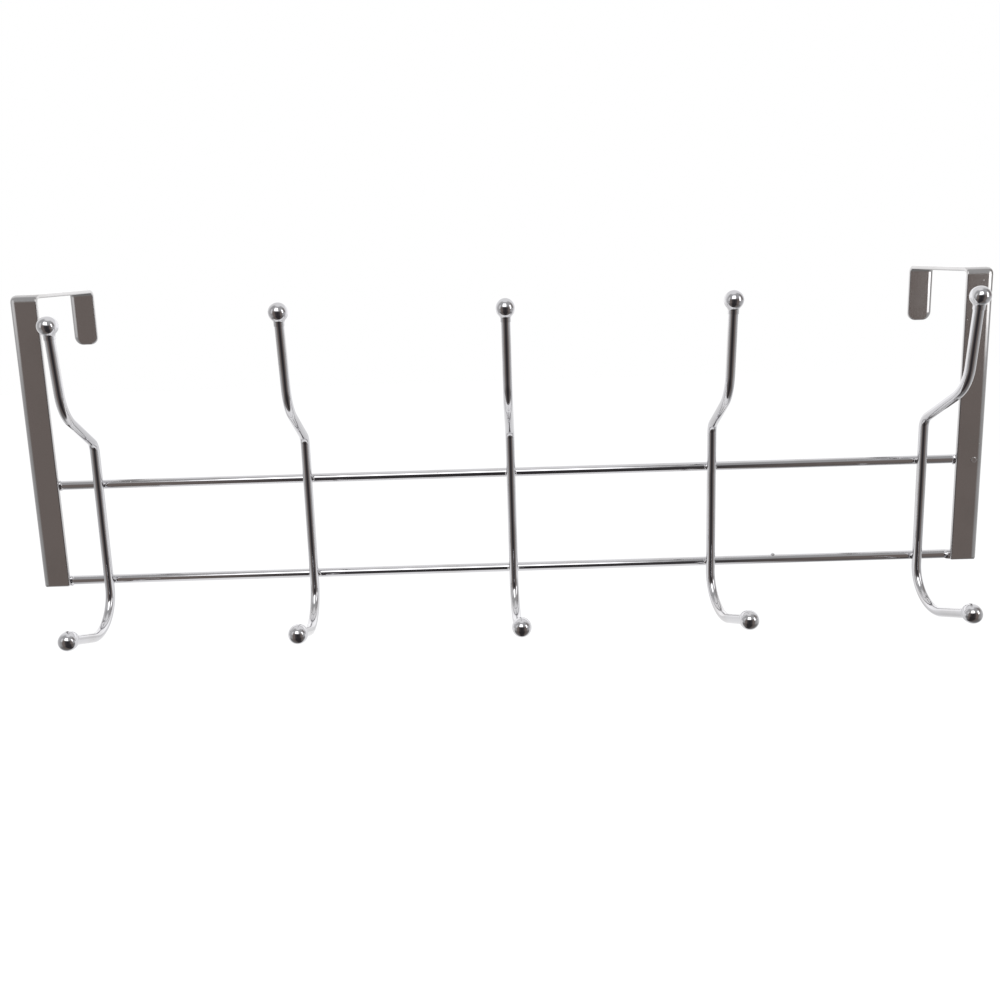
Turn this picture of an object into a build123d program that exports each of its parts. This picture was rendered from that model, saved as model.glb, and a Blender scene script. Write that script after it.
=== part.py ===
# Over-door rack: two flat strap brackets, two wire rails and five double wire hooks with ball ends.
from build123d import *
import os
from math import atan2, cos, degrees, radians, sin, sqrt, tan

# Driving dimensions, in millimetres. Angles are in degrees.
# X runs along the rack, Y into the door and Z up.
# Y = 0 is the face of the door, which the rails lie against. Z = 0 is the top edge of the door.
hook_pitch = 80.0
end_margin = 25.0  # axis of an end hook to the outer edge of its bracket

strap_width = 10.0
strap_thickness = 1.5
strap_edge_radius = 0.7  # soft edge all round the strap
edge_share = 0.47  # most of the thickness that one soft edge may take
strap_bend_radius = 1.5  # inside of both bends
door_gap = 41.0  # back of the rails to the back leg
front_leg_corner = 0.8  # corner radius of the front leg's end
back_leg_corner = 3.5  # corner radius of the back leg's end
back_leg_length = 22.0  # below the top of the door

rail_diameter = 3.5
upper_rail_drop = 73.0  # rail axis below the top of the door
rail_spacing = 39.0  # between the two rail axes
rail_end_inset = 1.0  # rail end inside the bracket's outer edge
rail_end_chamfer = 0.4  # sheared and tumbled end
weld_set_down = 0.3  # how far a weld sinks one piece into the other

hook_diameter = 3.5
elbow_rise = 17.0  # upper rail axis to the corner where the hook leans forward
elbow_radius = 6.0
neck_length = 30.0  # corner to corner, between the two upper bends
neck_lean_angle = 57.5  # degrees from upright
knee_radius = 16.0
top_arm_lean_angle = 7.2  # degrees from upright
cradle_drop = 2.3  # lower rail axis to the start of the J bend
cradle_radius = 13.6
low_arm_length = 20.0  # end of the J bend to the centre of the bottom ball
low_arm_rise_angle = 22.0  # degrees from level

# Each hook as it was bent and welded, from left to right
hook_offsets = (0.9, 2.1, 1.2, -0.7, 1.3)  # along the rails, from its even place
top_arm_lengths = (31.7, 34.2, 33.4, 33.8, 32.7)  # corner of the knee to the centre of the top ball
top_twist_angles = (5.5, 1.6, -1.1, -0.6, 4.9)  # of the upper bends about the shank, in degrees to the right
bottom_twist_angles = (2.2, 2.6, 3.1, 7.5, 3.3)  # of the lower bends about the shank, in degrees to the right

ball_diameter = 7.0
ball_socket_depth = 1.5  # how far the wire's end goes into the ball
collar_wall = 0.2  # collar of the ball around the wire
collar_length = 1.1  # straight part of the collar
collar_fillet = 1.5  # where the collar runs into the ball

# Sizes and places that follow from them
hook_count = len(hook_offsets)
overall_length = (hook_count - 1) * hook_pitch + 2 * end_margin
rail_length = overall_length - 2 * rail_end_inset
bracket_x = (overall_length - strap_width) / 2
rail_radius = rail_diameter / 2
hook_radius = hook_diameter / 2
ball_radius = ball_diameter / 2
socket_floor = ball_radius - ball_socket_depth  # from the ball's centre
collar_radius = hook_radius + collar_wall
soft_edge = min(strap_edge_radius, edge_share * strap_thickness)
upper_rail_z = -upper_rail_drop
lower_rail_z = upper_rail_z - rail_spacing
front_leg_end_z = lower_rail_z - rail_radius
back_leg_end_z = -back_leg_length
rail_y = -rail_radius
strap_back_y = rail_y - rail_radius + weld_set_down
shank_y = rail_y - rail_radius - hook_radius + weld_set_down


def end_corners(strap, end_z):
    """The two short edges through the thickness of a leg's end at the height end_z."""
    across = strap.edges().filter_by(Axis.Y)
    return across.filter_by_position(Axis.Z, end_z - soft_edge / 2, end_z + soft_edge / 2)


def bracket(centre_x):
    """Flat strap bent over the door: long front leg, flat top and short back leg, with soft edges."""
    front_y = strap_back_y - strap_thickness / 2
    back_y = door_gap + strap_thickness / 2
    top_z = strap_thickness / 2
    middle_line = Plane.YZ.offset(centre_x) * FilletPolyline(
        (front_y, front_leg_end_z),
        (front_y, top_z),
        (back_y, top_z),
        (back_y, back_leg_end_z),
        radius=strap_bend_radius + strap_thickness / 2,
    )
    start = Plane(middle_line @ 0, x_dir=(1, 0, 0), z_dir=middle_line % 0)
    strap = sweep(start * Rectangle(strap_width, strap_thickness), path=middle_line)
    strap = fillet(end_corners(strap, front_leg_end_z), front_leg_corner)
    strap = fillet(end_corners(strap, back_leg_end_z), back_leg_corner)
    near_top = (Axis.Z, -2 * strap_bend_radius, 2 * strap_thickness)
    bend_lines = strap.edges().filter_by(Axis.X).filter_by_position(*near_top)
    crosswise = strap.edges().filter_by(Axis.Y)
    through_edges = crosswise.filter_by(lambda edge: edge.length < 2 * strap_thickness)
    return fillet(strap.edges() - bend_lines - through_edges, soft_edge)


def rail(axis_z, brackets):
    """Straight round wire behind the front legs, flattened where it is welded to them."""
    wire = Pos(0, rail_y, axis_z) * Rot(0, 90, 0) * Cylinder(rail_radius, rail_length)
    wire = chamfer(wire.edges().filter_by(GeomType.CIRCLE), rail_end_chamfer)
    return wire - brackets


def step(lean, length):
    """(Reach forward, rise) of a run of wire that leans forward from upright."""
    return Vector(length * sin(radians(lean)), length * cos(radians(lean)))


def beside_shank(centre_x, point, twist):
    """Place of a (reach, height) point in front of the shank, in a plane twisted about it."""
    turn = radians(twist)
    return Vector(centre_x + point.X * sin(turn), shank_y - point.X * cos(turn), point.Y)


def ball(wire_end):
    """Ball that runs into a short collar, with a blind socket for the wire.

    The wire ends at the plane wire_end, whose normal points out of the wire.
    """
    bend_x = collar_radius + collar_fillet
    bend_z = -sqrt((ball_radius + collar_fillet) ** 2 - bend_x**2)
    dip_angle = degrees(atan2(-bend_z, bend_x))  # below level, where the ball runs into the fillet
    collar_end = bend_z - collar_length
    outline = [
        CenterArc((0, 0), ball_radius, 90, -90 - dip_angle),
        CenterArc((bend_x, bend_z), collar_fillet, 180 - dip_angle, dip_angle),
        Polyline(
            (collar_radius, bend_z),
            (collar_radius, collar_end),
            (hook_radius, collar_end),
            (hook_radius, -socket_floor),
            (0, -socket_floor),
            (0, ball_radius),
        ),
    ]
    whole = revolve(Plane.XZ * make_face(outline), Axis.Z)
    return wire_end * Pos(0, 0, socket_floor) * whole


def double_hook(index, rails):
    """Bent wire welded across both rails, with a ball on the end of its top arm and of its bottom arm."""
    centre_x = (index - (hook_count - 1) / 2) * hook_pitch + hook_offsets[index]
    cradle_turn = 90 + low_arm_rise_angle
    cradle_tangent = cradle_radius * tan(radians(cradle_turn / 2))
    elbow = Vector(0, upper_rail_z + elbow_rise)
    knee = elbow + step(neck_lean_angle, neck_length)
    top_end = knee + step(top_arm_lean_angle, top_arm_lengths[index] - socket_floor)
    heel = Vector(0, lower_rail_z - cradle_drop - cradle_tangent)
    low_end = heel + step(90 - low_arm_rise_angle, cradle_tangent + low_arm_length - socket_floor)
    corners = [beside_shank(centre_x, point, top_twist_angles[index]) for point in (top_end, knee, elbow)]
    corners += [beside_shank(centre_x, point, bottom_twist_angles[index]) for point in (heel, low_end)]
    bend_radii = (knee_radius, elbow_radius, cradle_radius)
    centre_line = FilletPolyline(*corners, radius=bend_radii)

    start = Plane(centre_line @ 0, z_dir=centre_line % 0)
    wire = sweep(start * Circle(hook_radius), path=centre_line) - rails
    top_ball = ball(Plane(centre_line @ 0, z_dir=-(centre_line % 0)))
    bottom_ball = ball(Plane(centre_line @ 1, z_dir=centre_line % 1))
    return wire, top_ball, bottom_ball


def build():
    """Every piece of the rack by its node name."""
    pieces = {"left_bracket": bracket(-bracket_x), "right_bracket": bracket(bracket_x)}
    brackets = list(pieces.values())
    rails = [rail(upper_rail_z, brackets), rail(lower_rail_z, brackets)]
    pieces["upper_rail"], pieces["lower_rail"] = rails
    for index in range(hook_count):
        name = f"hook_{index + 1}"
        wire, top_ball, bottom_ball = double_hook(index, rails)
        pieces[name] = wire
        pieces[f"{name}_top_ball"] = top_ball
        pieces[f"{name}_bottom_ball"] = bottom_ball
    return pieces


os.makedirs("parts", exist_ok=True)
for node, solid in build().items():
    export_step(solid, f"parts/{node}.step")
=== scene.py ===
"""Chrome over-door rack: strap brackets, wire rails, double hooks with ball ends and their welds."""
from math import atan2, ceil, cos, pi, radians, sin, sqrt, tan

import bpy
from bpy.props import FloatProperty, FloatVectorProperty, IntProperty, PointerProperty
from bpy.types import Operator, Panel, PropertyGroup, Scene
from mathutils import Matrix, Vector, noise


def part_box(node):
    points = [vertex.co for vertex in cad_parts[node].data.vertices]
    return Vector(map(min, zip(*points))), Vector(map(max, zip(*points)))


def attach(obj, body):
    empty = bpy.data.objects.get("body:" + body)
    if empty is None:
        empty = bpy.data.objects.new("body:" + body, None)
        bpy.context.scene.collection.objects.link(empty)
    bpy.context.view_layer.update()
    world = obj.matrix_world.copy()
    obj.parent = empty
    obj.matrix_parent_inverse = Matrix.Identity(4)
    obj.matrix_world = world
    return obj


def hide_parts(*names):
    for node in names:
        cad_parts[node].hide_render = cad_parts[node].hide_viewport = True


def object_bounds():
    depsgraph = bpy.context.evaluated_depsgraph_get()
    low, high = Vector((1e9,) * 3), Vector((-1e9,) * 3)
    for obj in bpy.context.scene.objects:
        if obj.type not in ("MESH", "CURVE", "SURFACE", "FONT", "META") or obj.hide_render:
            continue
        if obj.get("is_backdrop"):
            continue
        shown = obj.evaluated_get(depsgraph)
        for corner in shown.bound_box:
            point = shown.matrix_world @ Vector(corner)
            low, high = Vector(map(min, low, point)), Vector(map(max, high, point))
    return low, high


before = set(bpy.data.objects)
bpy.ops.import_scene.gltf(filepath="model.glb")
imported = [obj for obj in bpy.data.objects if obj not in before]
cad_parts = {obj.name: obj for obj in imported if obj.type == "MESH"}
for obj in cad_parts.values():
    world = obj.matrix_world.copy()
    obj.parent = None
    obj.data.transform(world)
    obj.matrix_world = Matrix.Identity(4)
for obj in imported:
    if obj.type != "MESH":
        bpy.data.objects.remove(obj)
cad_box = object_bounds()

bl_info = {
    "name": "Over-door rack",
    "version": (1, 0, 0),
    "blender": (4, 5, 0),
    "location": "View3D > Sidebar > Rack",
    "description": "Builds a chrome over-door rack around its packed frame",
    "category": "Object",
}

MM = 0.001
X_AXIS = Vector((1, 0, 0))
Y_AXIS = Vector((0, 1, 0))
Z_AXIS = Vector((0, 0, 1))
BRACKETS = ("left_bracket", "right_bracket")
RAILS = ("upper_rail", "lower_rail")
HOOKS = ("hook_1", "hook_2", "hook_3", "hook_4", "hook_5")
BOXES = {node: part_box(node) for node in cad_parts}


def half_size(node, axis):
    """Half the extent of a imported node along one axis."""
    low, high = BOXES[node]
    return (high[axis] - low[axis]) / 2


def middle(node):
    """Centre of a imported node's box."""
    low, high = BOXES[node]
    return (low + high) / 2


def packed_points(node):
    """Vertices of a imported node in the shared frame."""
    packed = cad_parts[node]
    return [packed.matrix_world @ vertex.co for vertex in packed.data.vertices]


def back_leg_end(node):
    """Height of the lower end of a bracket's back leg: the lowest packed point behind the door."""
    behind = middle(node).y
    return min(point.z for point in packed_points(node) if point.y > behind)


def shank_axis(node, height):
    """Centre of a hook's shank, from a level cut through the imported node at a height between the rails."""
    points = packed_points(node)
    cut = []
    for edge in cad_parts[node].data.edges:
        first, second = (points[index] for index in edge.vertices)
        if (first.z - height) * (second.z - height) < 0:
            cut.append(first.lerp(second, (height - first.z) / (second.z - first.z)))
    ends = [(min(point[axis] for point in cut), max(point[axis] for point in cut)) for axis in (0, 1)]
    return Vector([(low + high) / 2 for low, high in ends] + [0])


RAIL_RADIUS = half_size("upper_rail", 2)
BALL_RADIUS = half_size("hook_1_top_ball", 0)
STRAP_HALF_WIDTH = half_size("left_bracket", 0)
STRAP_THICKNESS = BOXES["left_bracket"][1].z
STRAP_BACK = BOXES["left_bracket"][0].y + STRAP_THICKNESS
RAIL_PLACES = [Vector((0, BOXES[rail][1].y - RAIL_RADIUS, middle(rail).z)) for rail in RAILS]
BETWEEN_RAILS = (RAIL_PLACES[0].z + RAIL_PLACES[1].z) / 2
SHANKS = {hook: shank_axis(hook, BETWEEN_RAILS) for hook in HOOKS}
WIRE_RADIUS = BOXES["hook_1"][1].y - SHANKS["hook_1"].y


class RackSizes(PropertyGroup):
    """Bends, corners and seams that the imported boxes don't tell."""

    strap_bend_radius: FloatProperty(
        name="Strap bend", description="Inside radius of the strap's bends",
        default=1.5 * MM, unit="LENGTH")
    strap_edge_depth: FloatProperty(
        name="Edge depth", description="How deep the strap's rolled edges round off",
        default=0.7 * MM, unit="LENGTH")
    outer_edge_width: FloatProperty(
        name="Outer edge", description="How far from its outer side a strap starts to round off",
        default=2.1 * MM, unit="LENGTH")
    inner_edge_width: FloatProperty(
        name="Inner edge", description="How far from its inner side a strap starts to round off",
        default=0.45 * MM, unit="LENGTH")
    front_leg_corner: FloatProperty(
        name="Front corner", description="Corner radius of the front leg's end",
        default=0.8 * MM, unit="LENGTH")
    back_leg_corner: FloatProperty(
        name="Back corner", description="Corner radius of the back leg's end",
        default=3.5 * MM, unit="LENGTH")
    rail_end_chamfer: FloatProperty(
        name="Rail end", description="Chamfer on the sheared end of a rail",
        default=0.4 * MM, unit="LENGTH")
    elbow_rise: FloatProperty(
        name="Elbow rise", description="Upper rail to the corner where a hook leans forward",
        default=17 * MM, unit="LENGTH")
    elbow_radius: FloatProperty(
        name="Elbow radius", description="Bend where a hook leans forward", default=6 * MM, unit="LENGTH")
    neck_lean: FloatProperty(
        name="Neck lean", description="Lean of the neck from upright",
        default=radians(57.5), subtype="ANGLE")
    knee_radius: FloatProperty(
        name="Knee radius", description="Bend where the neck turns up again",
        default=16 * MM, unit="LENGTH")
    top_arm_lean: FloatProperty(
        name="Top arm lean", description="Lean of the top arm from upright",
        default=radians(7.2), subtype="ANGLE")
    cradle_radius: FloatProperty(
        name="Cradle radius", description="Bend at the foot of a hook", default=13.6 * MM, unit="LENGTH")
    low_arm_rise: FloatProperty(
        name="Low arm rise", description="Rise of the low arm from level",
        default=radians(22), subtype="ANGLE")
    socket_depth: FloatProperty(
        name="Socket depth", description="How far a wire's end goes into its ball",
        default=1.5 * MM, unit="LENGTH")
    collar_wall: FloatProperty(
        name="Collar wall", description="Collar of a ball around its wire", default=0.2 * MM, unit="LENGTH")
    collar_length: FloatProperty(
        name="Collar length", description="Straight part of the collar", default=1.1 * MM, unit="LENGTH")
    collar_fillet: FloatProperty(
        name="Collar fillet", description="Where the collar runs into the ball",
        default=1.5 * MM, unit="LENGTH")
    hook_weld: FloatVectorProperty(
        name="Hook weld", description="Half sizes of the bead where a hook crosses a rail",
        default=(2.35 * MM, 0.7 * MM, 1.35 * MM), subtype="TRANSLATION", unit="LENGTH")
    strap_weld: FloatVectorProperty(
        name="Strap weld", description="Half sizes of the bead where a rail goes behind a strap",
        default=(1.2 * MM, 1.3 * MM, 2.0 * MM), subtype="TRANSLATION", unit="LENGTH")
    large_strap_weld: FloatVectorProperty(
        name="Large strap weld", description="Half sizes of the bead at the lower end of the right bracket",
        default=(2.6 * MM, 1.6 * MM, 1.9 * MM), subtype="TRANSLATION", unit="LENGTH")
    spatter_place: FloatProperty(
        name="Spatter place", description="Where a drop of weld spatter sits along the lower rail",
        default=105 * MM, unit="LENGTH")
    spatter_radius: FloatProperty(
        name="Spatter", description="Radius of the drop of weld spatter", default=0.75 * MM, unit="LENGTH")
    weld_mark_radius: FloatProperty(
        name="Weld mark", description="Radius of the round mark of the spot weld",
        default=1.15 * MM, unit="LENGTH")
    wire_sides: IntProperty(
        name="Wire sides", description="Facets round a wire", default=48, min=12)
    arc_step: FloatProperty(
        name="Arc step", description="Turn of one facet along a bend", default=radians(3), subtype="ANGLE")


class RackFinish(PropertyGroup):
    """Colours and gloss of the plating."""

    chrome: FloatVectorProperty(
        name="Chrome", description="Colour of the plating",
        default=(0.66, 0.655, 0.675), subtype="COLOR", min=0, max=1)
    haze: FloatVectorProperty(
        name="Haze", description="Colour of the plating where it is a little dull",
        default=(0.60, 0.59, 0.595), subtype="COLOR", min=0, max=1)
    strap_chrome: FloatVectorProperty(
        name="Strap", description="Colour of the plating on the straps",
        default=(0.62, 0.61, 0.615), subtype="COLOR", min=0, max=1)
    strap_haze: FloatVectorProperty(
        name="Strap haze", description="Colour of the straps where they are a little dull",
        default=(0.57, 0.56, 0.56), subtype="COLOR", min=0, max=1)
    wire_roughness: FloatProperty(
        name="Wire roughness", description="Least roughness of the wires", default=0.05, subtype="FACTOR")
    strap_roughness: FloatProperty(
        name="Strap roughness", description="Least roughness of the straps", default=0.10, subtype="FACTOR")
    ball_roughness: FloatProperty(
        name="Ball roughness", description="Least roughness of the balls", default=0.03, subtype="FACTOR")
    weld_roughness: FloatProperty(
        name="Weld roughness", description="Least roughness of the welds", default=0.14, subtype="FACTOR")


class RackStage(PropertyGroup):
    """Floor, light, tent, card and camera."""

    floor_drop: FloatProperty(
        name="Floor drop", description="Lowest point of the rack to the floor", default=0.5, unit="LENGTH")
    floor_colour: FloatVectorProperty(
        name="Floor", description="Colour of the floor",
        default=(0.82, 0.82, 0.83), subtype="COLOR", min=0, max=1)
    floor_lift: FloatProperty(
        name="Floor lift", description="Own light of the floor, so that it shows white", default=0.2)
    lamp_power: FloatProperty(
        name="Lamp", description="Power of the soft light over the rack", default=2.3, unit="POWER")
    softbox_place: FloatVectorProperty(
        name="Soft light", description="Where the soft light hangs",
        default=(0, -0.25, 0.55), subtype="TRANSLATION", unit="LENGTH")
    softbox_aim: FloatVectorProperty(
        name="Aim", description="Point that the soft light faces",
        default=(0, 0, -0.06), subtype="TRANSLATION", unit="LENGTH")
    softbox_size: FloatVectorProperty(
        name="Soft light size", description="Width and depth of the soft light",
        size=2, default=(0.8, 0.4), unit="LENGTH")
    dark_colour: FloatVectorProperty(
        name="Dark side", description="Middle of the dark side of the tent",
        default=(0.036, 0.033, 0.035), subtype="COLOR", min=0, max=1)
    wall_colour: FloatVectorProperty(
        name="Wall", description="Walls beside the dark side of the tent",
        default=(0.20, 0.170, 0.157), subtype="COLOR", min=0, max=1)
    window_level: FloatProperty(
        name="Windows", description="Brightness of the two windows beside the camera", default=2.0)
    lamp_level: FloatProperty(
        name="Lamp in sight", description="Brightness of the lamp that the plating reflects", default=2.0)
    tent_radius: FloatProperty(
        name="Tent", description="Middle of the rack to the sides of the tent", default=0.52, unit="LENGTH")
    tent_top_radius: FloatProperty(
        name="Tent top", description="Middle of the rack to the top of the tent",
        default=1.5, unit="LENGTH")
    card_drop: FloatProperty(
        name="Card drop", description="Lowest point of the rack to the card under the rails",
        default=0.018, unit="LENGTH")
    card_reach: FloatProperty(
        name="Card reach", description="Face of the door to the front edge of the card",
        default=0.040, unit="LENGTH")
    card_back: FloatProperty(
        name="Card back", description="Face of the door to the back edge of the card",
        default=0.03, unit="LENGTH")
    card_ends: FloatVectorProperty(
        name="Card ends", description="Ends of the card along the rack",
        size=2, default=(-0.225, 0.140), unit="LENGTH")
    card_level: FloatProperty(
        name="Card level", description="Brightness of the card that the rails reflect", default=1.0)
    camera_place: FloatVectorProperty(
        name="Camera", description="Where the camera stands",
        default=(-0.00119, -0.32864, 0.01154), subtype="TRANSLATION", unit="LENGTH")
    camera_tilt: FloatProperty(
        name="Tilt", description="Downward tilt of the camera", default=radians(9.543), subtype="ANGLE")
    camera_turn: FloatProperty(
        name="Turn", description="Turn of the camera about the upright",
        default=radians(-0.1414), subtype="ANGLE")
    camera_roll: FloatProperty(
        name="Roll", description="Roll of the camera about its own axis",
        default=radians(-1.687), subtype="ANGLE")
    camera_lens: FloatProperty(
        name="Lens", description="Focal length on a 36 mm sensor", default=30.831, min=1)
    camera_shift: FloatVectorProperty(
        name="Shift", description="Shift of the frame, in widths", size=2, default=(-0.00467, -0.1022))


# Materials

MIX_INPUTS = (0, 6, 7)  # factor and the two colours of a mix node
MIX_OUTPUT = 2  # its colour


def add_node(tree, kind, links=None, values=None, **settings):
    """Shader node with its settings, its constant sockets and its links."""
    node = tree.nodes.new(kind)
    for key, value in settings.items():
        setattr(node, key, value)
    for socket, value in (values or {}).items():
        node.inputs[socket].default_value = value
    for socket, source in (links or {}).items():
        tree.links.new(source, node.inputs[socket])
    return node


def new_tree(owner):
    """Empty node tree of a material or world, and its output node."""
    owner.use_nodes = True
    tree = owner.node_tree
    tree.nodes.clear()
    kind = "ShaderNodeOutputWorld" if isinstance(owner, bpy.types.World) else "ShaderNodeOutputMaterial"
    return tree, tree.nodes.new(kind)


def stretched_noise(tree, vector, stretch, detail=2.0):
    """Value of a noise whose pattern is repeated stretch times a unit along each axis."""
    spread = add_node(tree, "ShaderNodeMapping", {"Vector": vector}, {"Scale": stretch})
    made = add_node(
        tree, "ShaderNodeTexNoise", {"Vector": spread.outputs[0]},
        {"Scale": 1.0, "Detail": detail, "Roughness": 0.55})
    return made.outputs[0]


def ranged(tree, value, low, high, out_low, out_high):
    """Value moved smoothly from one range to another, and held at its ends."""
    made = add_node(
        tree, "ShaderNodeMapRange", {"Value": value},
        {"From Min": low, "From Max": high, "To Min": out_low, "To Max": out_high},
        interpolation_type="SMOOTHSTEP")
    return made.outputs[0]


def between(tree, value, low, low_full, high_full, high):
    """Value that is 1 inside a range, 0 outside it and smooth at its ends."""
    risen = ranged(tree, value, low, low_full, 0, 1)
    return joined(tree, "MULTIPLY", risen, ranged(tree, value, high_full, high, 1, 0))


def joined(tree, operation, first, second):
    """Result of a math node on two values, either of which may be a number."""
    made = add_node(tree, "ShaderNodeMath", operation=operation)
    for socket, value in zip(made.inputs, (first, second)):
        if isinstance(value, (int, float)):
            socket.default_value = value
        else:
            tree.links.new(value, socket)
    return made.outputs[0]


def blended(tree, factor, first, second):
    """Colour between two colours, each a value or an output."""
    made = add_node(tree, "ShaderNodeMix", data_type="RGBA")
    factor_socket, first_socket, second_socket = (made.inputs[index] for index in MIX_INPUTS)
    tree.links.new(factor, factor_socket)
    for socket, colour in ((first_socket, first), (second_socket, second)):
        if isinstance(colour, bpy.types.NodeSocket):
            tree.links.new(colour, socket)
        else:
            socket.default_value = (*colour, 1)
    return made.outputs[MIX_OUTPUT]


def scaled(colour, share):
    """Colour made lighter or darker by a share."""
    return [part * share for part in colour]


def plated(name, colours, least_roughness, along_wire, line_stretch, line_depth, wave_depth):
    """Chrome plating with drawn lines, soft waves, dull patches and a few pits."""
    patch_scale, wave_scale, pit_scale = 55, 130, 420
    dulled = (0.42, 0.72)
    pitted = (0.56, 0.62)
    pit_edge = (0.05, 0.11)
    pit_colour = (0.20, 0.19, 0.185)
    pit_tint = 0.5
    pit_depth = 0.02 * MM
    dull_roughness, line_roughness, pit_roughness = 0.035, 0.03, 0.25

    material = bpy.data.materials.new(name)
    tree, output = new_tree(material)
    places = add_node(tree, "ShaderNodeTexCoord")
    solid = places.outputs["Object"]
    lines = stretched_noise(tree, places.outputs["UV"] if along_wire else solid, line_stretch, 3.0)
    patches = stretched_noise(tree, solid, (patch_scale,) * 3, 3.0)
    waves = stretched_noise(tree, solid, (wave_scale,) * 3, 1.0)
    cells = add_node(tree, "ShaderNodeTexVoronoi", {"Vector": solid}, {"Scale": pit_scale})
    pits = ranged(tree, cells.outputs["Distance"], *pit_edge, 1, 0)
    pits = joined(tree, "MULTIPLY", pits, ranged(tree, patches, *pitted, 0, 1))

    dull = ranged(tree, patches, *dulled, 0, 1)
    colour = blended(tree, dull, *colours)
    colour = blended(tree, joined(tree, "MULTIPLY", pits, pit_tint), colour, pit_colour)
    roughness = joined(tree, "ADD", least_roughness, joined(tree, "MULTIPLY", dull, dull_roughness))
    roughness = joined(tree, "ADD", roughness, joined(tree, "MULTIPLY", lines, line_roughness))
    roughness = joined(tree, "ADD", roughness, joined(tree, "MULTIPLY", pits, pit_roughness))

    height = joined(tree, "MULTIPLY", lines, line_depth)
    height = joined(tree, "ADD", height, joined(tree, "MULTIPLY", waves, wave_depth))
    height = joined(tree, "SUBTRACT", height, joined(tree, "MULTIPLY", pits, pit_depth))
    relief = add_node(tree, "ShaderNodeBump", {"Height": height}, {"Strength": 1.0, "Distance": 1.0})
    shader = add_node(
        tree, "ShaderNodeBsdfPrincipled",
        {"Base Color": colour, "Roughness": roughness, "Normal": relief.outputs[0]}, {"Metallic": 1.0})
    tree.links.new(shader.outputs[0], output.inputs["Surface"])
    return material


def finish_of(kind):
    """Material of one kind of piece, made on first use."""
    made = bpy.data.materials.get(kind)
    if made:
        return made
    finish = bpy.context.scene.rack_finish
    wire_lines = (38, 0.35, 1)
    strap_lines = (2600, 22, 22)
    even = (900, 900, 900)
    bright = (finish.chrome, finish.haze)
    if kind == "wire_plating":
        return plated(
            kind, bright, finish.wire_roughness, True, wire_lines,
            line_depth=0.003 * MM, wave_depth=0.05 * MM)
    if kind == "strap_plating":
        duller = (finish.strap_chrome, finish.strap_haze)
        return plated(
            kind, duller, finish.strap_roughness, False, strap_lines,
            line_depth=0.0015 * MM, wave_depth=0.03 * MM)
    if kind == "ball_plating":
        return plated(
            kind, bright, finish.ball_roughness, False, even,
            line_depth=0.0005 * MM, wave_depth=0.03 * MM)
    if kind == "weld_plating":
        return plated(
            kind, bright, finish.weld_roughness, False, even,
            line_depth=0.02 * MM, wave_depth=0.08 * MM)
    raise ValueError(kind)


# Meshes

def new_piece(name, points, faces, uvs=None, normals=None, crease=radians(30)):
    """Object of a smooth mesh. uvs has one pair for each corner of each face."""
    mesh = bpy.data.meshes.new(name)
    mesh.from_pydata(points, [], faces)
    mesh.shade_smooth()
    if uvs:
        layer = mesh.uv_layers.new(name="Wrap")
        layer.data.foreach_set("uv", [value for pair in uvs for value in pair])
    if normals:
        mesh.normals_split_custom_set_from_vertices(normals)
    else:
        mesh.set_sharp_from_angle(angle=crease)
    piece = bpy.data.objects.new(name, mesh)
    bpy.context.scene.collection.objects.link(piece)
    return piece


def fit_out(piece, kind, slot, *nodes):
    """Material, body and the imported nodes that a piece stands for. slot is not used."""
    piece.data.materials.append(finish_of(kind))
    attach(piece, "root")
    if nodes:
        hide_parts(*nodes)


def turned(direction, angle):
    """Direction in a plane turned by an angle, counter-clockwise."""
    return Vector((
        direction.x * cos(angle) - direction.y * sin(angle),
        direction.x * sin(angle) + direction.y * cos(angle),
    ))


def bent_line(corners, radii, arc_step):
    """(point, direction) pairs along straight runs in a plane, joined by tangent arcs."""
    stations = [(corners[0], (corners[1] - corners[0]).normalized())]
    for before, corner, after, radius in zip(corners, corners[1:], corners[2:], radii):
        into = (corner - before).normalized()
        away = (after - corner).normalized()
        turn = atan2(into.x * away.y - into.y * away.x, into.dot(away))
        side = turned(into, pi / 2 if turn > 0 else -pi / 2)
        centre = corner - into * radius * tan(abs(turn) / 2) + side * radius
        steps = ceil(abs(turn) / arc_step)
        for step in range(steps + 1):
            angle = turn * step / steps
            stations.append((centre - turned(side, angle) * radius, turned(into, angle)))
    stations.append((corners[-1], (corners[-1] - corners[-2]).normalized()))
    return stations


def swept_tube(name, stations, sides, pressed):
    """Closed round tube of (centre, first side, second side, radius) stations. pressed moves each point."""
    run = [0.0]
    for (before, *_), (after, *_) in zip(stations, stations[1:]):
        run.append(run[-1] + (after - before).length)
    points = []
    for centre, across, up, radius in stations:
        for side in range(sides):
            angle = 2 * pi * side / sides
            points.append(pressed(centre + (across * cos(angle) + up * sin(angle)) * radius))
    girth = 2 * pi * WIRE_RADIUS
    faces = []
    uvs = []
    for ring in range(len(stations) - 1):
        near = ring * sides
        far = near + sides
        low, high = run[ring] / girth, run[ring + 1] / girth
        for side in range(sides):
            after = (side + 1) % sides
            faces.append((near + side, near + after, far + after, far + side))
            left, right = side / sides, (side + 1) / sides
            uvs += [(left, low), (right, low), (right, high), (left, high)]
    faces.append(tuple(reversed(range(sides))))
    faces.append(tuple(range(len(points) - sides, len(points))))
    uvs += [(0.5, 0.0)] * (2 * sides)
    return new_piece(name, points, faces, uvs)


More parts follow.
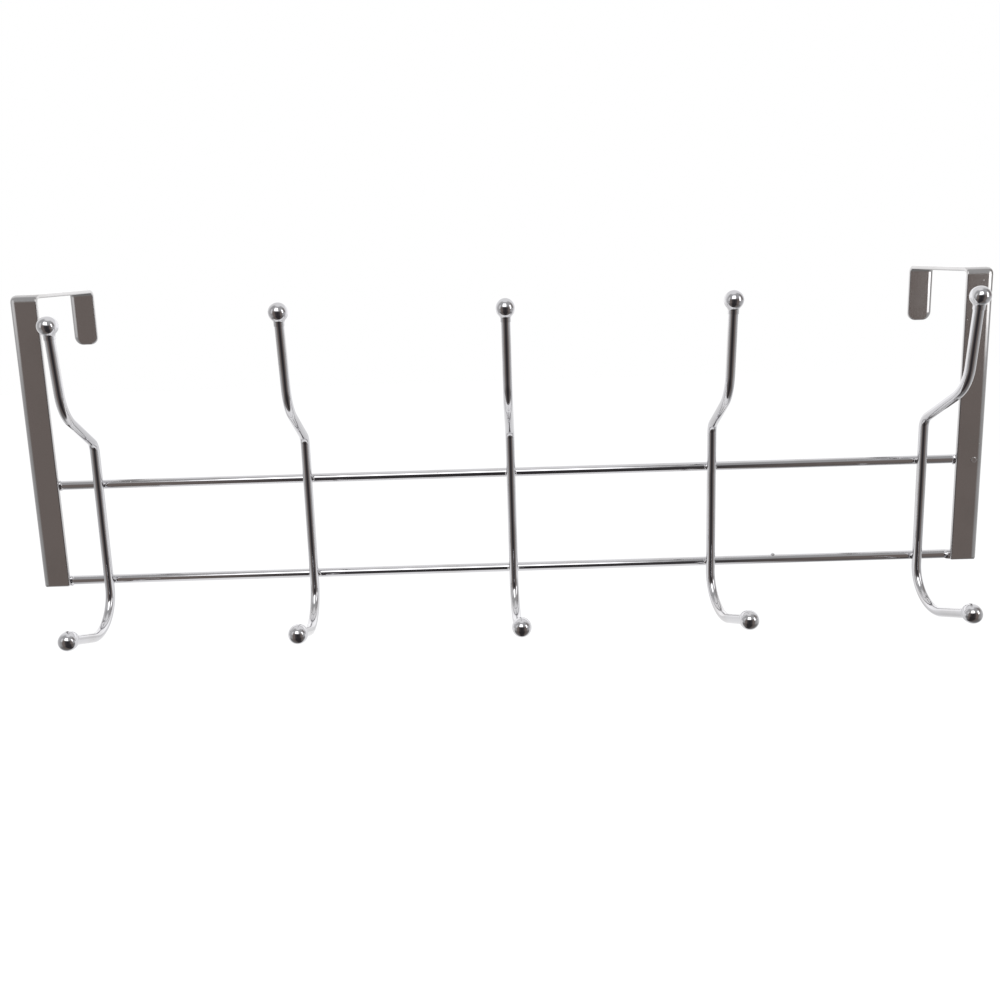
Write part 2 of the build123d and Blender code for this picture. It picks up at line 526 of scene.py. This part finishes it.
def turned_solid(name, profile, origin, axis, sides):
    """Solid of revolution of (radius, height) points, which start and end on the axis."""
    across = (X_AXIS - axis * axis.x).normalized()
    up = axis.cross(across)
    points = []
    rings = []
    for radius, height in profile:
        count = 1 if radius == 0 else sides
        rings.append((len(points), count))
        for side in range(count):
            angle = 2 * pi * side / sides
            points.append(origin + axis * height + (across * cos(angle) + up * sin(angle)) * radius)
    faces = []
    for (near, near_count), (far, far_count) in zip(rings, rings[1:]):
        for side in range(sides):
            after = side + 1
            corners = (
                near + side % near_count,
                far + side % far_count,
                far + after % far_count,
                near + after % near_count,
            )
            faces.append(tuple(dict.fromkeys(corners)))
    return new_piece(name, points, faces)


# Brackets

def strap_line(node, bend):
    """Middle line of a bent strap: its function, the marks where its bends start and end, and its length.

    The function gives (place, outward), both in (Y, Z), for a length along the line.
    """
    low, high = BOXES[node]
    half = STRAP_THICKNESS / 2
    radius = bend + half
    front, back = low.y + half, high.y - half
    top = half
    arc = radius * pi / 2
    bend_height = top - radius
    marks = [bend_height - low.z]
    marks.append(marks[0] + arc)
    marks.append(marks[1] + back - front - 2 * radius)
    marks.append(marks[2] + arc)

    def at(length):
        if length <= marks[0]:
            return Vector((front, low.z + length)), Vector((-1, 0))
        if length <= marks[1]:
            outward = turned(Vector((-1, 0)), (marks[0] - length) / radius)
            return Vector((front + radius, bend_height)) + outward * radius, outward
        if length <= marks[2]:
            return Vector((front + radius + length - marks[1], top)), Vector((0, 1))
        if length <= marks[3]:
            outward = turned(Vector((0, 1)), (marks[2] - length) / radius)
            return Vector((back - radius, bend_height)) + outward * radius, outward
        return Vector((back, bend_height + marks[3] - length)), Vector((1, 0))

    return at, marks, marks[3] + bend_height - back_leg_end(node)


def edge_dip(distance, deep, wide):
    """How far a strap's face has rounded off at a distance from its side."""
    return deep * (1 - sqrt(1 - max(1 - distance / wide, 0) ** 2))


def strap_side(marks, length, sizes, wide):
    """Right edge of the flat part of a strap's face.

    Its points are (along, across, lean along, lean across, edge width).
    """
    deep = sizes.strap_edge_depth
    corner_steps = 8
    bend_steps = 16
    quarter = [pi / 2 * step / corner_steps for step in range(corner_steps + 1)]
    side = []
    corner = sizes.front_leg_corner
    for angle in quarter:
        along = corner - (corner - deep) * cos(angle)
        across = STRAP_HALF_WIDTH - corner + (corner - wide) * sin(angle)
        side.append((along, across, -cos(angle), sin(angle), wide))
    for start, end in (marks[:2], marks[2:]):
        for step in range(bend_steps + 1):
            side.append((start + (end - start) * step / bend_steps, STRAP_HALF_WIDTH - wide, 0, 1, wide))
    corner = sizes.back_leg_corner
    for angle in reversed(quarter):
        along = length - corner + (corner - deep) * cos(angle)
        across = STRAP_HALF_WIDTH - corner + (corner - wide) * sin(angle)
        side.append((along, across, cos(angle), sin(angle), wide))
    return side


def make_strap(name, node, sizes):
    """Strap with soft edges: its outline goes round the edge in rings, and each point follows the bends."""
    at, marks, length = strap_line(node, sizes.strap_bend_radius)
    centre_x = middle(node).x
    widths = (sizes.outer_edge_width, sizes.inner_edge_width)
    right_width, left_width = widths if centre_x > 0 else reversed(widths)
    right = strap_side(marks, length, sizes, right_width)
    left = strap_side(marks, length, sizes, left_width)
    outline = right + [
        (along, -across, lean, -slant, wide) for along, across, lean, slant, wide in reversed(left)]
    deep = sizes.strap_edge_depth
    core = STRAP_THICKNESS / 2 - deep
    edge_steps = 14
    quarter = [pi / 2 * step / edge_steps for step in range(edge_steps + 1)]
    turns = [(core, angle) for angle in quarter] + [(-core, pi / 2 + angle) for angle in quarter]
    points = []
    normals = []
    for level, angle in turns:
        for along, across, lean, slant, wide in outline:
            place, outward = at(along + lean * deep * sin(angle))
            onward = Vector((outward.y, -outward.x))
            spot = place + outward * (level + deep * cos(angle))
            tip = onward * lean * sin(angle) + outward * cos(angle)
            points.append(Vector((centre_x + across + slant * wide * sin(angle), spot.x, spot.y)))
            normals.append(Vector((slant * sin(angle) * deep / wide, tip.x, tip.y)).normalized())
    count = len(outline)
    faces = []
    for ring in range(len(turns) - 1):
        near = ring * count
        far = near + count
        for spot in range(count):
            after = (spot + 1) % count
            faces.append((near + spot, far + spot, far + after, near + after))
    back = len(points) - count
    for row in range(len(right) - 1):
        first, last = row, count - 1 - row
        faces.append((last, first, first + 1, last - 1))
        faces.append((back + first, back + last, back + last - 1, back + first + 1))
    return new_piece(name, points, faces, normals=normals)


class RACK_OT_brackets(Operator):
    """Make the two bent straps"""

    bl_idname = "rack.brackets"
    bl_label = "Brackets"

    def execute(self, context):
        sizes = context.scene.rack_sizes
        for name, node in zip(("left_strap", "right_strap"), BRACKETS):
            fit_out(make_strap(name, node, sizes), "strap_plating", "strap_chrome", node)
        return {"FINISHED"}


# Rails

def make_rail(node, place, sizes):
    """Straight wire with chamfered ends, flattened where it lies against the straps."""
    deep = sizes.strap_edge_depth
    chamfer = sizes.rail_end_chamfer
    strap_inner = middle("right_bracket").x - STRAP_HALF_WIDTH
    strap_outer = strap_inner + 2 * STRAP_HALF_WIDTH
    half = half_size(node, 0)
    seat_steps = 6
    right = [strap_inner + sizes.inner_edge_width * step / seat_steps for step in range(-1, seat_steps + 1)]
    right.append(strap_outer - sizes.outer_edge_width)
    right = [(x, RAIL_RADIUS) for x in right] + [(half - chamfer, RAIL_RADIUS), (half, RAIL_RADIUS - chamfer)]
    runs = [(-x, radius) for x, radius in reversed(right)] + right
    stations = [(place + X_AXIS * x, Y_AXIS, Z_AXIS, radius) for x, radius in runs]

    def pressed(point):
        inside = abs(point.x) - strap_inner
        if inside < 0:
            return point
        dip = edge_dip(inside, deep, sizes.inner_edge_width)
        dip += edge_dip(strap_outer - abs(point.x), deep, sizes.outer_edge_width)
        return Vector((point.x, max(point.y, STRAP_BACK - dip), point.z))

    return swept_tube(f"{node}_wire", stations, sizes.wire_sides, pressed)


class RACK_OT_rails(Operator):
    """Make the two rails"""

    bl_idname = "rack.rails"
    bl_label = "Rails"

    def execute(self, context):
        sizes = context.scene.rack_sizes
        for node, place in zip(RAILS, RAIL_PLACES):
            fit_out(make_rail(node, place, sizes), "wire_plating", "wire_chrome", node)
        return {"FINISHED"}


# Hooks and balls

def leaning(angle):
    """(Forward, up) direction that leans forward from upright."""
    return Vector((sin(angle), cos(angle)))


def ball_centre(node):
    """Centre of a packed ball. Its collar points back and down."""
    low, high = BOXES[node]
    return Vector((middle(node).x, low.y + BALL_RADIUS, high.z - BALL_RADIUS))


def forward(hook, end):
    """Level direction from a hook's shank to its top or bottom ball."""
    way = ball_centre(f"{hook}_{end}_ball") - SHANKS[hook]
    return Vector((way.x, way.y, 0)).normalized()


def crossing(first, first_way, second, second_way):
    """Point where two lines in a plane meet."""
    gap = second - first
    share = first_way.x * second_way.y - first_way.y * second_way.x
    return first + first_way * ((gap.x * second_way.y - gap.y * second_way.x) / share)


def make_hook(node, sizes):
    """Bent wire from its top ball to its bottom ball, set down a little into both rails.

    It is laid out flat, in (forward, up). Then its upper and its lower bends are turned toward their balls.
    """
    shank = SHANKS[node]
    ahead = {end: forward(node, end) for end in ("top", "bottom")}
    centres = {end: ball_centre(f"{node}_{end}_ball") for end in ahead}
    top_ball, low_ball = (Vector(((centres[end] - shank).dot(ahead[end]), centres[end].z)) for end in ahead)
    neck_way = leaning(sizes.neck_lean)
    arm_way = leaning(sizes.top_arm_lean)
    low_way = leaning(pi / 2 - sizes.low_arm_rise)
    inset = BALL_RADIUS - sizes.socket_depth
    elbow = Vector((0, RAIL_PLACES[0].z + sizes.elbow_rise))
    knee = crossing(elbow, neck_way, top_ball, arm_way)
    heel = crossing(elbow, Vector((0, 1)), low_ball, low_way)
    corners = [top_ball - arm_way * inset, knee, elbow, heel, low_ball - low_way * inset]
    radii = [sizes.knee_radius, sizes.elbow_radius, sizes.cradle_radius]
    line = bent_line(corners, radii, sizes.arc_step)

    seat_step = 0.15 * MM
    seat_rings = range(10, -11, -1)
    stations = []
    for (spot, way), (after, _) in zip(line, line[1:] + line[-1:]):
        stations.append((spot, way))
        for rail in RAIL_PLACES:
            if spot.y > rail.z > after.y:
                stations += [(Vector((0, rail.z + ring * seat_step)), way) for ring in seat_rings]
    tube = []
    for spot, way in stations:
        out = ahead["top" if spot.y > BETWEEN_RAILS else "bottom"]
        centre = shank + out * spot.x + Z_AXIS * spot.y
        tube.append((centre, out * way.y - Z_AXIS * way.x, Z_AXIS.cross(out), WIRE_RADIUS))

    def pressed(point):
        for rail in RAIL_PLACES:
            rise = point.z - rail.z
            if abs(rise) < RAIL_RADIUS:
                face = rail.y - sqrt(RAIL_RADIUS**2 - rise**2)
                point = Vector((point.x, min(point.y, face), point.z))
        return point

    return swept_tube(f"{node}_bent_wire", tube, sizes.wire_sides, pressed)


class RACK_OT_hooks(Operator):
    """Make the five bent hooks"""

    bl_idname = "rack.hooks"
    bl_label = "Hooks"

    def execute(self, context):
        sizes = context.scene.rack_sizes
        for node in HOOKS:
            fit_out(make_hook(node, sizes), "wire_plating", "wire_chrome", node)
        return {"FINISHED"}


def ball_profile(sizes):
    """Outline of a ball, its fillet, its collar and its socket, from the top to the socket's floor."""
    collar = WIRE_RADIUS + sizes.collar_wall
    fillet = sizes.collar_fillet
    inset = BALL_RADIUS - sizes.socket_depth
    bend_out = collar + fillet
    bend_down = sqrt((BALL_RADIUS + fillet) ** 2 - bend_out**2)
    dip = atan2(bend_down, bend_out)
    ball_steps = 36
    fillet_steps = 10
    profile = [(0, BALL_RADIUS)]
    for step in range(1, ball_steps + 1):
        angle = pi / 2 - (pi / 2 + dip) * step / ball_steps
        profile.append((BALL_RADIUS * cos(angle), BALL_RADIUS * sin(angle)))
    for step in range(1, fillet_steps + 1):
        angle = dip * (1 - step / fillet_steps)
        profile.append((bend_out - fillet * cos(angle), fillet * sin(angle) - bend_down))
    collar_end = -bend_down - sizes.collar_length
    profile += [(collar, collar_end), (WIRE_RADIUS, collar_end), (WIRE_RADIUS, -inset), (0, -inset)]
    return profile


class RACK_OT_balls(Operator):
    """Make the ball ends of the hooks"""

    bl_idname = "rack.balls"
    bl_label = "Balls"

    def execute(self, context):
        sizes = context.scene.rack_sizes
        profile = ball_profile(sizes)
        ball_sides = 64
        ends = (("top", sizes.top_arm_lean), ("bottom", pi / 2 - sizes.low_arm_rise))
        for hook in HOOKS:
            for end, lean in ends:
                node = f"{hook}_{end}_ball"
                axis = forward(hook, end) * sin(lean) + Z_AXIS * cos(lean)
                piece = turned_solid(f"{hook}_{end}_knob", profile, ball_centre(node), axis, ball_sides)
                fit_out(piece, "ball_plating", "ball_chrome", node)
        return {"FINISHED"}


# Welds

def make_beads(name, beads):
    """Uneven beads of weld metal, each (centre, half sizes, seed), as one piece."""
    sides = 28
    rings = 20
    uneven = 0.14
    lump = 1.7
    seed_shift = (7.3, 1.9, 1)
    points = []
    faces = []
    for centre, reach, seed in beads:
        start = len(points)
        shift = Vector([seed * part for part in seed_shift])
        for ring in range(rings + 1):
            rise = pi * ring / rings
            for side in range(sides):
                turn = 2 * pi * side / sides
                way = Vector((sin(rise) * cos(turn), sin(rise) * sin(turn), cos(rise)))
                swell = 1 + uneven * noise.noise(way * lump + shift)
                points.append(centre + Vector([size * part * swell for size, part in zip(reach, way)]))
        for ring in range(rings):
            near = start + ring * sides
            far = near + sides
            for side in range(sides):
                after = (side + 1) % sides
                faces.append((near + side, far + side, far + after, near + after))
    return new_piece(name, points, faces, crease=pi)


class RACK_OT_welds(Operator):
    """Make the welds of the hooks and the brackets"""

    bl_idname = "rack.welds"
    bl_label = "Welds"

    def execute(self, context):
        sizes = context.scene.rack_sizes
        seed = 0
        for hook in HOOKS:
            beads = []
            for rail in RAIL_PLACES:
                seed += 1
                beads.append((Vector((SHANKS[hook].x, rail.y - RAIL_RADIUS, rail.z)), sizes.hook_weld, seed))
            fit_out(make_beads(f"{hook}_welds", beads), "weld_plating", "wire_chrome")
        for bracket in BRACKETS:
            centre_x = middle(bracket).x
            inner = centre_x - STRAP_HALF_WIDTH * (1 if centre_x > 0 else -1)
            beads = []
            for rail in RAIL_PLACES:
                seed += 1
                large = bracket == "right_bracket" and rail is RAIL_PLACES[1]
                reach = sizes.large_strap_weld if large else sizes.strap_weld
                beads.append((Vector((inner, rail.y - RAIL_RADIUS / 2, rail.z)), reach, seed))
            fit_out(make_beads(f"{bracket}_welds", beads), "weld_plating", "strap_chrome")
        self.make_mark(sizes)
        self.make_spatter(sizes)
        return {"FINISHED"}

    def make_spatter(self, sizes):
        """Drop of weld spatter on top of the lower rail."""
        rail = RAIL_PLACES[1]
        seed = 31
        top = Vector((sizes.spatter_place, rail.y, rail.z + RAIL_RADIUS))
        drop = make_beads("lower_rail_spatter", [(top, [sizes.spatter_radius] * 3, seed)])
        fit_out(drop, "weld_plating", "wire_chrome")

    def make_mark(self, sizes):
        """Round mark that the spot weld of the upper rail left on the right strap."""
        radius = sizes.weld_mark_radius
        across_share = 0.66
        dish, rim_start, rim_end = 0.6 * radius, 0.8 * radius, 0.9 * radius
        rim = 0.045 * MM
        inside = 0.02 * MM
        sides = 40
        left = middle("right_bracket").x - STRAP_HALF_WIDTH
        spot = Vector((
            left + across_share * 2 * STRAP_HALF_WIDTH, STRAP_BACK - STRAP_THICKNESS, RAIL_PLACES[0].z))
        profile = [(0, inside), (dish, inside), (rim_start, rim), (rim_end, rim)]
        profile += [(radius, -inside), (0, -inside)]
        mark = turned_solid("right_strap_weld_mark", profile, spot, -Y_AXIS, sides)
        fit_out(mark, "weld_plating", "strap_chrome")


# Stage

def sheet(name, rows, material):
    """Stage object of a grid of points, with the grid's own coordinates from 0 to 1."""
    high = len(rows) - 1
    wide = len(rows[0]) - 1
    points = [point for row in rows for point in row]
    faces = []
    uvs = []
    for row in range(high):
        for column in range(wide):
            near = row * (wide + 1) + column
            far = near + wide + 1
            faces.append((near, near + 1, far + 1, far))
            left, right = column / wide, (column + 1) / wide
            low, top = row / high, (row + 1) / high
            uvs += [(left, low), (right, low), (right, top), (left, top)]
    made = new_piece(name, points, faces, uvs)
    made.data.materials.append(material)
    made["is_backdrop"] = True
    return made


def floor_material(stage):
    """Pale floor that shows white and keeps its shadow."""
    material = bpy.data.materials.new("pale_floor")
    tree, output = new_tree(material)
    places = add_node(tree, "ShaderNodeTexCoord")
    cloud = ranged(tree, stretched_noise(tree, places.outputs["Object"], (3, 3, 3)), 0.3, 0.7, 0, 1)
    pale = stage.floor_colour
    colour = blended(tree, cloud, pale, scaled(pale, 0.99))
    matt = add_node(tree, "ShaderNodeBsdfDiffuse", {"Color": colour})
    path = add_node(tree, "ShaderNodeLightPath")
    seen = joined(tree, "MAXIMUM", path.outputs["Is Camera Ray"], path.outputs["Is Transmission Ray"])
    seen = joined(tree, "MAXIMUM", seen, path.outputs["Is Glossy Ray"])
    lift = joined(tree, "MULTIPLY", seen, stage.floor_lift)
    glow = add_node(tree, "ShaderNodeEmission", {"Strength": lift})
    both = add_node(tree, "ShaderNodeAddShader", {0: matt.outputs[0], 1: glow.outputs[0]})
    tree.links.new(both.outputs[0], output.inputs["Surface"])
    return material


def colour_ramp(tree, value, stops):
    """Colour output of a smooth ramp of (place, colour) stops."""
    node = add_node(tree, "ShaderNodeValToRGB", {"Fac": value})
    ramp = node.color_ramp
    ramp.interpolation = "EASE"
    while len(ramp.elements) < len(stops):
        ramp.elements.new(0.5)
    for element, (place, colour) in zip(ramp.elements, stops):
        element.position = place
        element.color = (*colour, 1)
    return node.outputs["Color"]


def tent_material(stage):
    """Inside of the light tent, by the turn from the camera's side and the rise from level, in degrees.

    It is dark toward the camera and below, and pale at the sides, above and behind. On it are a shade at
    the right, a window on each side of the camera and a lamp over it.
    """
    material = bpy.data.materials.new("light_tent")
    tree, output = new_tree(material)
    places = add_node(tree, "ShaderNodeTexCoord")
    parts = add_node(tree, "ShaderNodeSeparateXYZ", {"Vector": places.outputs["UV"]})
    turn = joined(tree, "MULTIPLY", joined(tree, "SUBTRACT", parts.outputs["X"], 0.5), 360.0)
    rise = joined(tree, "MULTIPLY", joined(tree, "SUBTRACT", parts.outputs["Y"], 0.5), 180.0)
    away = joined(tree, "ABSOLUTE", turn, 0)
    share = joined(tree, "DIVIDE", away, 180.0)

    def around(stops):
        return colour_ramp(tree, share, [(angle / 180, colour) for angle, colour in stops])

    def grey(level):
        return (level, level, level)

    def patch(turns, rises):
        return joined(tree, "MULTIPLY", between(tree, turn, *turns), between(tree, rise, *rises))

    dark, wall = stage.dark_colour, stage.wall_colour
    shade_depth = 0.8
    left_window_share = 0.2
    behind_level = 0.35
    low_band = around([
        (0, dark), (24, dark), (44, scaled(wall, 0.75)), (85, grey(0.22)), (112, grey(0.6)),
        (138, grey(0.95)), (158, grey(0.85)), (180, grey(0.78))])
    mid_band = around([
        (0, dark), (20, scaled(dark, 1.6)), (38, wall), (49, wall), (60, grey(0.40)), (92, grey(0.62)),
        (122, grey(1.08)), (150, grey(1.0)), (180, grey(0.85))])
    high_band = around([(0, grey(0.42)), (75, grey(0.46)), (115, grey(0.95))])
    colour = blended(tree, ranged(tree, rise, -88, -64, 0, 1), scaled(dark, 1.5), low_band)
    colour = blended(tree, ranged(tree, rise, -38, -20, 0, 1), colour, mid_band)
    colour = blended(tree, ranged(tree, rise, 8, 30, 0, 1), colour, high_band)
    colour = blended(tree, ranged(tree, rise, 60, 78, 0, 1), colour, grey(0.95))
    shade = patch((70, 79, 92, 106), (0, 9, 36, 56))
    colour = blended(tree, joined(tree, "MULTIPLY", shade, shade_depth), colour, wall)

    window_rises = (-3, 5, 26, 36)
    right_window = patch((49.5, 52, 63, 69), window_rises)
    left_window = patch((-76, -66, -55, -50), window_rises)
    windows = joined(tree, "ADD", right_window, joined(tree, "MULTIPLY", left_window, left_window_share))
    lamp = patch((-36, -26, 8, 18), (17, 26, 48, 58))
    behind = ranged(tree, away, 120, 150, 0, behind_level)
    light = joined(tree, "MULTIPLY", behind, between(tree, rise, -14, -4, 24, 40))
    light = joined(tree, "ADD", light, joined(tree, "MULTIPLY", windows, stage.window_level))
    light = joined(tree, "ADD", light, joined(tree, "MULTIPLY", lamp, stage.lamp_level))
    glow = add_node(tree, "ShaderNodeEmission", {"Color": colour}, {"Strength": 1.0})
    lit = add_node(tree, "ShaderNodeEmission", {"Strength": light})
    both = add_node(tree, "ShaderNodeAddShader", {0: glow.outputs[0], 1: lit.outputs[0]})
    tree.links.new(both.outputs[0], output.inputs["Surface"])
    return material


def card_material(stage):
    """White card that fades out toward its ends and its front edge."""
    material = bpy.data.materials.new("white_card")
    tree, output = new_tree(material)
    places = add_node(tree, "ShaderNodeTexCoord")
    parts = add_node(tree, "ShaderNodeSeparateXYZ", {"Vector": places.outputs["UV"]})
    along, across = parts.outputs["X"], parts.outputs["Y"]
    ends = between(tree, along, 0, 0.2, 0.83, 1)
    shown = joined(tree, "MULTIPLY", ends, ranged(tree, across, 0, 0.12, 0, 1))
    glow = add_node(tree, "ShaderNodeEmission", None, {"Strength": stage.card_level})
    clear = add_node(tree, "ShaderNodeBsdfTransparent")
    both = add_node(tree, "ShaderNodeMixShader", {0: shown, 1: clear.outputs[0], 2: glow.outputs[0]})
    tree.links.new(both.outputs[0], output.inputs["Surface"])
    return material


def only_reflected(made):
    """Leave a stage object to be seen in reflections alone."""
    made.visible_camera = False
    made.visible_diffuse = False
    made.visible_shadow = False
    made.visible_transmission = False


class RACK_OT_stage(Operator):
    """Make the floor, the light, the tent, the card and the camera"""

    bl_idname = "rack.stage"
    bl_label = "Stage"

    def execute(self, context):
        stage = context.scene.rack_stage
        self.make_room(context.scene, stage)
        self.make_light(context.scene, stage)
        self.make_camera(context.scene, stage)
        context.scene.view_settings.view_transform = "Standard"
        return {"FINISHED"}

    def make_room(self, scene, stage):
        """White surroundings, a pale floor, and the light tent and the card that the plating reflects."""
        world = bpy.data.worlds.new("white_room")
        scene.world = world
        tree, output = new_tree(world)
        white = add_node(tree, "ShaderNodeBackground", None, {"Color": (1, 1, 1, 1), "Strength": 1.0})
        tree.links.new(white.outputs[0], output.inputs["Surface"])

        floor = cad_box[0].z - stage.floor_drop
        reach = 4.0
        corners = [[Vector((x, y, floor)) for x in (-reach, reach)] for y in (-reach, reach)]
        sheet("floor", corners, floor_material(stage))

        centre = Vector((0, 0, (cad_box[0].z + cad_box[1].z) / 2))
        near, far = stage.tent_radius, stage.tent_top_radius
        widens_from, widening = radians(14), radians(26)
        row_count, column_count = 60, 120
        turns = [pi * (2 * column / column_count - 1) for column in range(column_count + 1)]
        rows = []
        for row in range(row_count + 1):
            rise = pi * (row / row_count - 0.5)
            opening = min(max((rise - widens_from) / widening, 0), 1)
            distance = near + (far - near) * opening**2 * (3 - 2 * opening)
            rows.append([
                centre + Vector((sin(turn) * cos(rise), -cos(turn) * cos(rise), sin(rise))) * distance
                for turn in turns])
        only_reflected(sheet("light_tent", rows, tent_material(stage)))

        below = cad_box[0].z - stage.card_drop
        depths = (-stage.card_reach, stage.card_back)
        corners = [[Vector((x, y, below)) for x in stage.card_ends] for y in depths]
        only_reflected(sheet("low_card", corners, card_material(stage)))

    def make_light(self, scene, stage):
        """Soft light over the rack and a little before it."""
        lamp = bpy.data.lights.new("overhead_softbox", "AREA")
        lamp.shape = "RECTANGLE"
        lamp.size, lamp.size_y = stage.softbox_size
        lamp.energy = stage.lamp_power
        softbox = bpy.data.objects.new("overhead_softbox", lamp)
        softbox.location = stage.softbox_place
        aim = Vector(stage.softbox_aim) - softbox.location
        softbox.rotation_euler = aim.to_track_quat("-Z", "Y").to_euler()
        softbox.visible_glossy = False
        scene.collection.objects.link(softbox)

    def make_camera(self, scene, stage):
        """Camera at the photograph's place."""
        view = bpy.data.cameras.new("camera")
        view.sensor_width = 36
        view.lens = stage.camera_lens
        view.shift_x, view.shift_y = stage.camera_shift
        view.clip_start = 0.01
        camera = bpy.data.objects.new("camera", view)
        turn = Matrix.Rotation(stage.camera_turn, 4, "Z")
        tilt = Matrix.Rotation(pi / 2 - stage.camera_tilt, 4, "X")
        roll = Matrix.Rotation(stage.camera_roll, 4, "Z")
        camera.matrix_world = Matrix.Translation(stage.camera_place) @ turn @ tilt @ roll
        scene.collection.objects.link(camera)
        scene.camera = camera


OPERATORS = (
    RACK_OT_brackets, RACK_OT_rails, RACK_OT_hooks, RACK_OT_balls, RACK_OT_welds, RACK_OT_stage)


class RACK_PT_sidebar(Panel):
    """Lists the steps that build the rack"""

    bl_idname = "RACK_PT_sidebar"
    bl_label = "Over-door rack"
    bl_space_type = "VIEW_3D"
    bl_region_type = "UI"
    bl_category = "Rack"

    def draw(self, context):
        for step in OPERATORS:
            self.layout.operator(step.bl_idname)


CLASSES = (RackSizes, RackFinish, RackStage, *OPERATORS, RACK_PT_sidebar)


def register():
    """Add the rack's classes and settings to Blender."""
    for each in CLASSES:
        bpy.utils.register_class(each)
    Scene.rack_sizes = PointerProperty(type=RackSizes)
    Scene.rack_finish = PointerProperty(type=RackFinish)
    Scene.rack_stage = PointerProperty(type=RackStage)


def unregister():
    """Take the rack's classes and settings out of Blender again."""
    del Scene.rack_stage, Scene.rack_finish, Scene.rack_sizes
    for each in reversed(CLASSES):
        bpy.utils.unregister_class(each)


def main():
    """Build the rack and its stage."""
    register()
    bpy.ops.rack.brackets()
    bpy.ops.rack.rails()
    bpy.ops.rack.hooks()
    bpy.ops.rack.balls()
    bpy.ops.rack.welds()
    bpy.ops.rack.stage()
    boxes = {"cad": cad_box, "visual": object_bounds()}
    {name: [list(corner) for corner in box] for name, box in boxes.items()}


if __name__ == "__main__":
    main()
